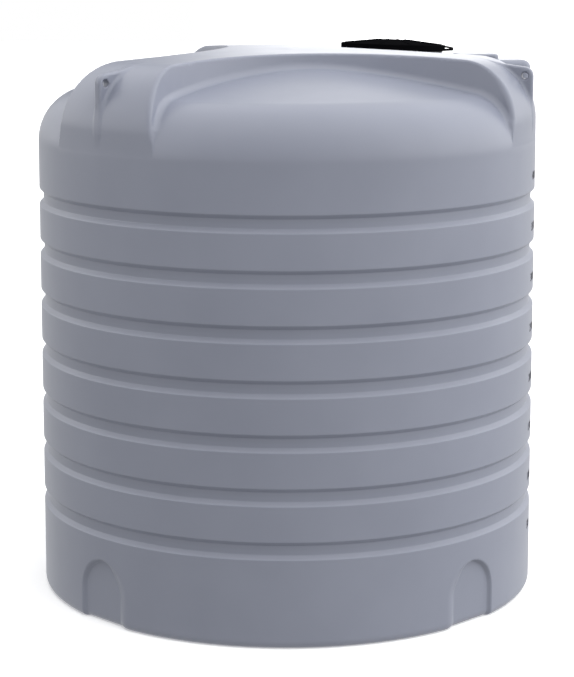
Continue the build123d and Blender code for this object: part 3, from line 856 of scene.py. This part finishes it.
def math_node(tree, operation, *values):
    """Adds a math node; each value is a number or a socket. Returns its result."""
    node = add_node(tree, "ShaderNodeMath", operation=operation)
    for slot, value in enumerate(values):
        if isinstance(value, (int, float)):
            node.inputs[slot].default_value = value
        else:
            tree.links.new(value, node.inputs[slot])
    return node.outputs[0]


def screw_tree():
    """Tree that makes one screw, a pan head on a shank with a hexagon socket, and repeats it
    round a circle. Returns the tree and its inputs by name."""
    tree = bpy.data.node_groups.new("ring_of_screws", "GeometryNodeTree")
    sockets = {}
    for name, kind in (("Count", "Int"), ("Circle Radius", "Float"), ("Head Radius", "Float"),
                       ("Head Height", "Float"), ("Shank Radius", "Float"), ("Shank Length", "Float"),
                       ("Socket Radius", "Float"), ("Socket Depth", "Float"), ("Steel", "Material")):
        sockets[name] = tree.interface.new_socket(name, in_out="INPUT", socket_type=f"NodeSocket{kind}")
    tree.interface.new_socket("Geometry", in_out="OUTPUT", socket_type="NodeSocketGeometry")
    given = add_node(tree, "NodeGroupInput").outputs

    def along_axis(mesh, height):
        shift = add_node(tree, "ShaderNodeCombineXYZ", links={"Z": height}).outputs[0]
        moved = add_node(tree, "GeometryNodeTransform", links={"Geometry": mesh, "Translation": shift})
        return moved.outputs[0]

    # head: a cylinder whose rings are drawn in to the pan's profile
    head = add_node(tree, "GeometryNodeMeshCylinder", {"Vertices": 24, "Side Segments": 6},
                    {"Radius": given["Head Radius"], "Depth": given["Head Height"]}).outputs["Mesh"]
    place = add_node(tree, "GeometryNodeInputPosition").outputs[0]
    level = add_node(tree, "ShaderNodeSeparateXYZ", links={0: place}).outputs["Z"]
    level = math_node(tree, "DIVIDE", level, given["Head Height"])
    pan = add_node(tree, "ShaderNodeFloatCurve", links={"Value": math_node(tree, "ADD", level, 0.5)})
    profile = pan.mapping.curves[0].points
    profile[0].location = SCREW_PAN[0]
    profile[1].location = SCREW_PAN[-1]
    for height, share in SCREW_PAN[1:-1]:
        profile.new(height, share)
    pan.mapping.update()
    width = add_node(tree, "ShaderNodeCombineXYZ", {"Z": 1.0},
                     {"X": pan.outputs[0], "Y": pan.outputs[0]}).outputs[0]
    turned = add_node(tree, "ShaderNodeVectorMath", links={0: place, 1: width},
                      operation="MULTIPLY").outputs[0]
    head = add_node(tree, "GeometryNodeSetPosition", links={"Geometry": head, "Position": turned}).outputs[0]
    head = along_axis(head, math_node(tree, "MULTIPLY", given["Head Height"], 0.5))

    # shank: reaches up into the head. Socket: a hexagon cut into the head's top
    inside_head = math_node(tree, "MULTIPLY", given["Head Height"], SCREW_OVERLAP)
    shank = add_node(tree, "GeometryNodeMeshCylinder", {"Vertices": 16},
                     {"Radius": given["Shank Radius"],
                      "Depth": math_node(tree, "ADD", given["Shank Length"], inside_head)}).outputs["Mesh"]
    lower = math_node(tree, "SUBTRACT", inside_head, given["Shank Length"])
    shank = along_axis(shank, math_node(tree, "MULTIPLY", lower, 0.5))
    socket = add_node(tree, "GeometryNodeMeshCylinder", {"Vertices": 6},
                      {"Radius": given["Socket Radius"],
                       "Depth": math_node(tree, "MULTIPLY", given["Socket Depth"], 2.0)}).outputs["Mesh"]
    socket = along_axis(socket, given["Head Height"])
    body = add_node(tree, "GeometryNodeMeshBoolean", links={"Mesh 2": head}, operation="UNION",
                    solver="EXACT")
    tree.links.new(shank, body.inputs["Mesh 2"])
    screw = add_node(tree, "GeometryNodeMeshBoolean", links={"Mesh 1": body.outputs[0], "Mesh 2": socket},
                     operation="DIFFERENCE", solver="EXACT").outputs[0]

    # ring: one screw at each point of the circle, each stopped at its own turn
    circle = add_node(tree, "GeometryNodeMeshCircle",
                      links={"Vertices": given["Count"], "Radius": given["Circle Radius"]}).outputs[0]
    stop = add_node(tree, "FunctionNodeRandomValue", {"Seed": SCREW_SEED}, data_type="FLOAT").outputs[1]
    stop = math_node(tree, "MULTIPLY", stop, math.tau / 6)
    turn = add_node(tree, "ShaderNodeCombineXYZ", links={"Z": stop}).outputs[0]
    screws = add_node(tree, "GeometryNodeInstanceOnPoints",
                      links={"Points": circle, "Instance": screw, "Rotation": turn}).outputs[0]
    screws = add_node(tree, "GeometryNodeRealizeInstances", links={0: screws}).outputs[0]
    angle = add_node(tree, "GeometryNodeInputMeshEdgeAngle").outputs["Unsigned Angle"]
    sharp = math_node(tree, "GREATER_THAN", angle, SCREW_SHARP)
    screws = add_node(tree, "GeometryNodeSetShadeSmooth", {"Shade Smooth": True},
                      {"Geometry": screws}).outputs[0]
    screws = add_node(tree, "GeometryNodeSetShadeSmooth", {"Shade Smooth": False},
                      {"Geometry": screws, "Selection": sharp}, domain="EDGE").outputs[0]
    screws = add_node(tree, "GeometryNodeSetMaterial",
                      links={"Geometry": screws, "Material": given["Steel"]}).outputs[0]
    add_node(tree, "NodeGroupOutput", links={0: screws})
    return tree, sockets


steel = turned_stainless()
screw_source = bpy.data.objects.new("screw_source", bpy.data.meshes.new("screw_source"))
bpy.context.scene.collection.objects.link(screw_source)
pattern = screw_source.modifiers.new("ring_of_screws", "NODES")
pattern.node_group, screw_sockets = screw_tree()
for name, value in (("Count", SCREW_COUNT), ("Circle Radius", SCREW_CIRCLE), ("Head Radius", SCREW_HEAD[0]),
                    ("Head Height", SCREW_HEAD[1]), ("Shank Radius", SCREW_SHANK[0]),
                    ("Shank Length", SCREW_SHANK[1]), ("Socket Radius", SCREW_SOCKET[0]),
                    ("Socket Depth", SCREW_SOCKET[1]), ("Steel", steel)):
    pattern[screw_sockets[name].identifier] = value
graph = bpy.context.evaluated_depsgraph_get()
screw_mesh = bpy.data.meshes.new_from_object(screw_source.evaluated_get(graph))
screw_source.modifiers.remove(pattern)
bpy.data.objects.remove(screw_source)
seat = NECK_ORIGIN + NECK_Z * SCREW_SEAT
axes = Matrix((NECK_X, NECK_Y, NECK_Z)).transposed().to_4x4()
screw_mesh.transform(Matrix.Scale(0.001, 4) @ Matrix.Translation(seat) @ axes
                     @ Matrix.Rotation(SCREW_START, 4, "Z"))
ring_screws = bpy.data.objects.new("ring_screws_skin", screw_mesh)
bpy.context.scene.collection.objects.link(ring_screws)
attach(ring_screws, "tank")
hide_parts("ring_screws")

# Hinge pin and its two clips: drawn stainless wire with a thin black coating. The pin runs
# through the ears and the lid's barrel, and a clip holds it at each end.


def blackened_stainless():
    """Stainless wire with a thin black coating: dull, with faint mottles of 3 mm."""
    material, tree, shader = new_material("blackened_stainless_steel", 0.55, metallic=0.3)
    shader.inputs["Specular IOR Level"].default_value = 0.1
    place = add_node(tree, "ShaderNodeTexCoord").outputs["Object"]
    mottle = add_node(tree, "ShaderNodeTexNoise", {"Scale": lumps(3), "Detail": 3.0}, {"Vector": place})
    tone = add_node(tree, "ShaderNodeValToRGB", links={"Fac": mottle.outputs["Fac"]})
    tone.color_ramp.elements[0].color = srgb("#101012")
    tone.color_ramp.elements[1].color = srgb("#1C1C1F")
    tree.links.new(tone.outputs["Color"], shader.inputs["Base Color"])
    return material


finish_nodes(("hinge_pin", "pin_clips"), blackened_stainless())

# Outlet fitting: a black polypropylene body through the pad at the back, with a flange
# outside and a washer and nut inside. It takes a 2 inch valve.
finish_nodes(("outlet_body", "outlet_nut", "outlet_washer"), black_plastic)

# Overflow fitting: a black polypropylene socket through the boss, held by a nut inside.
# A punched stainless screen under a snapped-on cap keeps insects out.
finish_nodes(("overflow_body", "overflow_nut", "screen_cap"), black_plastic)
finish_nodes(("overflow_screen",), steel)

# Floor: a pale sheet that runs to the horizon and keeps the tank's shadow. The tank itself
# sees it at one even brightness, a little brighter to the right in what it mirrors.
FLOOR_REACH = 40000
FLOOR_LIFT = 0.25
FLOOR_BOUNCE = 0.62
FLOOR_MIRRORED = (0.8, 0.85)
FLOOR_MIRRORED_REACH = 2.5
floor_mesh = bmesh.new()
bmesh.ops.create_grid(floor_mesh, x_segments=1, y_segments=1, size=FLOOR_REACH)
floor = make_object("floor", floor_mesh)


def pale_floor():
    """White floor. The camera sees its shadows; the tank sees it at one even brightness."""
    material, tree, shader = new_material("white_floor", 0.9)
    shader.inputs["Base Color"].default_value = (0.9, 0.9, 0.9, 1)
    shader.inputs["Specular IOR Level"].default_value = 0.0
    shader.inputs["Emission Color"].default_value = (1, 1, 1, 1)
    shader.inputs["Emission Strength"].default_value = FLOOR_LIFT
    paths = add_node(tree, "ShaderNodeLightPath").outputs
    place = add_node(tree, "ShaderNodeTexCoord").outputs["Object"]
    sideways = add_node(tree, "ShaderNodeSeparateXYZ", links={0: place}).outputs["X"]
    mirrored = add_node(tree, "ShaderNodeMapRange",
                        {"From Min": -FLOOR_MIRRORED_REACH, "From Max": FLOOR_MIRRORED_REACH,
                         "To Min": FLOOR_MIRRORED[0], "To Max": FLOOR_MIRRORED[1]}, {"Value": sideways})
    bounce = add_node(tree, "ShaderNodeEmission", {"Color": (1, 1, 1, 1), "Strength": FLOOR_BOUNCE})
    glow = add_node(tree, "ShaderNodeEmission", {"Color": (1, 1, 1, 1)},
                    {"Strength": mirrored.outputs["Result"]})
    unseen = add_node(tree, "ShaderNodeMixShader",
                      links={0: paths["Is Glossy Ray"], 1: bounce.outputs[0], 2: glow.outputs[0]})
    mixed = add_node(tree, "ShaderNodeMixShader",
                     links={0: paths["Is Camera Ray"], 1: unseen.outputs[0], 2: shader.outputs[0]})
    tree.links.new(mixed.outputs[0], tree.nodes["Material Output"].inputs["Surface"])
    return material


floor.data.materials.append(pale_floor())

# Surround: plain soft studio light from all round. What lights the wall grows towards both
# sides, more to the right, and what lights the roof grows upwards. What the satin skin mirrors
# is a bright sky, and low behind the tank a backdrop with stops of direction and brightness.
RIGHT_LIGHT = 1.0
SIDE_LIGHT = 1.9
TOP_LIGHT = 2.05
SKY_SHEEN = (1.4, 0.75)
SKY_TURN = (0.7, 0.85)
SIDE_SHEEN = 1.1
BACKDROP = ((-0.35, 1.0), (-0.18, 0.0), (-0.065, 0.1), (0.0, 2.8), (0.18, 2.8), (0.3, 0.6), (0.5, 1.1))
BACKDROP_FULL = 3.0
BACKDROP_TURN = (0.6, 0.85)
BACKDROP_TOP = (0.5, 0.2)


def white_studio():
    """White surround. Its light on the tank grows towards the right, the left and the top."""
    world = bpy.data.worlds.new("white_studio")
    world.use_nodes = True
    tree = world.node_tree
    tree.nodes.clear()
    direction = add_node(tree, "ShaderNodeTexCoord").outputs["Generated"]
    parts = add_node(tree, "ShaderNodeSeparateXYZ", links={0: direction})
    sideways = parts.outputs["X"]
    up = math_node(tree, "MAXIMUM", parts.outputs["Z"], 0.0)
    slope = math_node(tree, "MULTIPLY_ADD", sideways, SIDE_LIGHT, RIGHT_LIGHT)
    level = math_node(tree, "MAXIMUM", math_node(tree, "MULTIPLY", slope, sideways), 0.0)
    high = math_node(tree, "MULTIPLY", up, up)
    strength = math_node(tree, "MULTIPLY_ADD", high, TOP_LIGHT, level)
    paths = add_node(tree, "ShaderNodeLightPath").outputs
    seen = math_node(tree, "MAXIMUM", paths["Is Camera Ray"], paths["Is Glossy Ray"])
    seen = math_node(tree, "MAXIMUM", seen, paths["Is Transmission Ray"])
    light = add_node(tree, "ShaderNodeBackground", {"Color": (1, 1, 1, 1)}, {"Strength": strength})
    across = add_node(tree, "ShaderNodeValToRGB",
                      links={"Fac": math_node(tree, "MULTIPLY_ADD", sideways, 0.5, 0.5)})
    stops = across.color_ramp.elements
    while len(stops) < len(BACKDROP):
        stops.new(0.5)
    for stop, (turn, brightness) in zip(stops, BACKDROP):
        stop.position = 0.5 + turn / 2
        stop.color = (*[brightness / BACKDROP_FULL] * 3, 1)
    behind = add_node(tree, "ShaderNodeMapRange",
                      {"From Min": BACKDROP_TURN[0], "From Max": BACKDROP_TURN[1]},
                      {"Value": parts.outputs["Y"]})
    low = add_node(tree, "ShaderNodeMapRange", {"From Min": BACKDROP_TOP[0], "From Max": BACKDROP_TOP[1]},
                   {"Value": parts.outputs["Z"]})
    share = math_node(tree, "MULTIPLY", behind.outputs["Result"], low.outputs["Result"])
    sky = add_node(tree, "ShaderNodeMapRange",
                   {"From Min": SKY_TURN[0], "From Max": SKY_TURN[1],
                    "To Min": SKY_SHEEN[0], "To Max": SKY_SHEEN[1]}, {"Value": parts.outputs["Y"]})
    squared = math_node(tree, "MULTIPLY", sideways, sideways)
    sky = math_node(tree, "MULTIPLY_ADD", squared, SIDE_SHEEN, sky.outputs["Result"])
    backdrop = math_node(tree, "MULTIPLY", across.outputs["Color"], BACKDROP_FULL)
    more = math_node(tree, "SUBTRACT", backdrop, sky)
    sheen = math_node(tree, "MULTIPLY_ADD", share, more, sky)
    bright = math_node(tree, "MAXIMUM", sheen, paths["Is Camera Ray"])
    white = add_node(tree, "ShaderNodeBackground", {"Color": (1, 1, 1, 1)}, {"Strength": bright})
    mixed = add_node(tree, "ShaderNodeMixShader",
                     links={0: seen, 1: light.outputs[0], 2: white.outputs[0]})
    add_node(tree, "ShaderNodeOutputWorld", links={"Surface": mixed.outputs[0]})
    return world


scene = bpy.context.scene
scene.world = white_studio()


# Overhead lamp: a wide soft box above the tank, a little in front of it, that rounds the roof
# without a hard shadow.
LAMP_PLACE = Vector((0.0, -0.6, 5.6))
LAMP_TARGET = Vector((0.0, -0.3, 1.9))
LAMP_SIZE = 5.0
LAMP_POWER = 25
lamp_data = bpy.data.lights.new("overhead", "AREA")
lamp_data.shape = "RECTANGLE"
lamp_data.size = LAMP_SIZE
lamp_data.size_y = LAMP_SIZE
lamp_data.energy = LAMP_POWER
lamp = bpy.data.objects.new("overhead", lamp_data)
scene.collection.objects.link(lamp)
lamp.location = LAMP_PLACE
lamp.rotation_euler = (LAMP_TARGET - LAMP_PLACE).to_track_quat("-Z", "Y").to_euler()

# Camera: it stands 7.9 m in front of the tank at 2.45 m and looks down by 8.8 degrees. Its
# focal length and centre are in pixels of the photograph's frame.
IMAGE_WIDTH = 574
IMAGE_HEIGHT = 677
FOCAL_PIXELS = 2113.0
CENTRE_X = 287.05
CENTRE_Y = 260.0
CAMERA_PLACE = (0, -7.9359, 2.4483)
CAMERA_DIP = 8.81
SENSOR_WIDTH = 36.0
camera_data = bpy.data.cameras.new("photo_camera")
camera = bpy.data.objects.new("photo_camera", camera_data)
scene.collection.objects.link(camera)
camera.location = CAMERA_PLACE
camera.rotation_euler = (math.radians(90 - CAMERA_DIP), 0, 0)
camera_data.sensor_width = SENSOR_WIDTH
camera_data.lens = FOCAL_PIXELS * SENSOR_WIDTH / IMAGE_HEIGHT
camera_data.shift_x = (IMAGE_WIDTH / 2 - CENTRE_X) / IMAGE_HEIGHT
camera_data.shift_y = (CENTRE_Y - IMAGE_HEIGHT / 2) / IMAGE_HEIGHT
scene.camera = camera
scene.view_settings.view_transform = "Standard"
